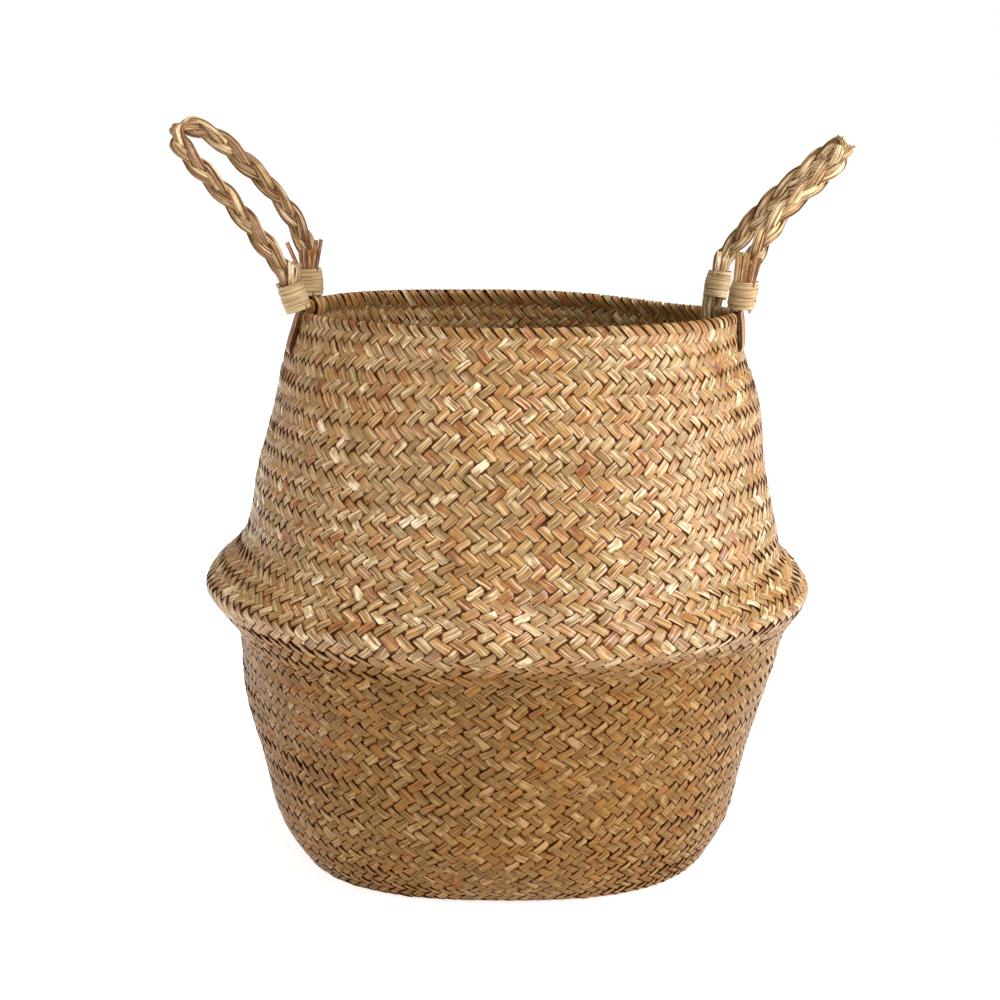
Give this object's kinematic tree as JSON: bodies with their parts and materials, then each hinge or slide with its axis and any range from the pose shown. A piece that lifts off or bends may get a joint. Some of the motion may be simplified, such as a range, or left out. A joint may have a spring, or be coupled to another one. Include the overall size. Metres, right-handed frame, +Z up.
{
  "type": "seagrass storage basket",
  "caption": "Round twill-woven seagrass belly basket with a fold at half height, a folded rim and two plaited loop handles.",
  "frame": {"origin": "centre of the base's underside, on the floor", "axes": "+Z up, handles at -X and +X, front at -Y"},
  "size_m": [0.3499, 0.32, 0.3822],
  "materials": {
    "seagrass_base": "woven dry seagrass, dark olive tan",
    "seagrass_lower_wall": "woven dry seagrass, olive tan",
    "seagrass_fold": "woven dry seagrass, golden tan",
    "seagrass_upper_wall": "woven dry seagrass, golden tan",
    "seagrass_border": "folded and plaited dry seagrass",
    "foot_stem": "flat dry seagrass stem",
    "raffia_binding": "wrapped pale raffia",
    "cut_stem": "trimmed dry stem ends",
    "plaited_stem": "three-strand plait of dry seagrass"
  },
  "bodies": {
    "basket": {"base_mat": "seagrass_base", "lower_wall": "seagrass_lower_wall", "belly_fold_lower": "seagrass_fold", "belly_fold_upper": "seagrass_fold", "upper_wall": "seagrass_upper_wall"},
    "rim": {"rim_weave": "seagrass_upper_wall", "rim_border": "seagrass_border", "left_front_stems": "foot_stem", "left_front_binding": "raffia_binding", "left_front_cut_ends": "cut_stem", "left_front_neck": "plaited_stem", "left_rear_stems": "foot_stem", "left_rear_binding": "raffia_binding", "left_rear_cut_ends": "cut_stem", "left_rear_neck": "plaited_stem", "right_front_stems": "foot_stem", "right_front_binding": "raffia_binding", "right_front_cut_ends": "cut_stem", "right_front_neck": "plaited_stem", "right_rear_stems": "foot_stem", "right_rear_binding": "raffia_binding", "right_rear_cut_ends": "cut_stem", "right_rear_neck": "plaited_stem"},
    "left_handle": {"left_handle_strand_1": "plaited_stem", "left_handle_strand_2": "plaited_stem", "left_handle_strand_3": "plaited_stem"},
    "right_handle": {"right_handle_strand_1": "plaited_stem", "right_handle_strand_2": "plaited_stem", "right_handle_strand_3": "plaited_stem"}
  },
  "joints": [
    {"name": "belly_fold_down", "type": "slide", "parent": "basket", "child": "rim", "axis": [0, 0, -1], "range_m": [0, 0.13], "deforming": ["upper_wall"]},
    {"name": "left_handle_swing", "type": "hinge", "parent": "rim", "child": "left_handle", "pos_m": [-0.10843, -0.00068, 0.30628], "axis": [0.0816, 0.995, 0.0573], "range_deg": [-40, 70], "deforming": ["left_front_neck", "left_front_cut_ends", "left_rear_neck", "left_rear_cut_ends"]},
    {"name": "right_handle_swing", "type": "hinge", "parent": "rim", "child": "right_handle", "pos_m": [0.11947, 0.00705, 0.30523], "axis": [0.0452, -0.999, -0.0011], "range_deg": [-40, 70], "deforming": ["right_front_neck", "right_front_cut_ends", "right_rear_neck", "right_rear_cut_ends"]}
  ]
}
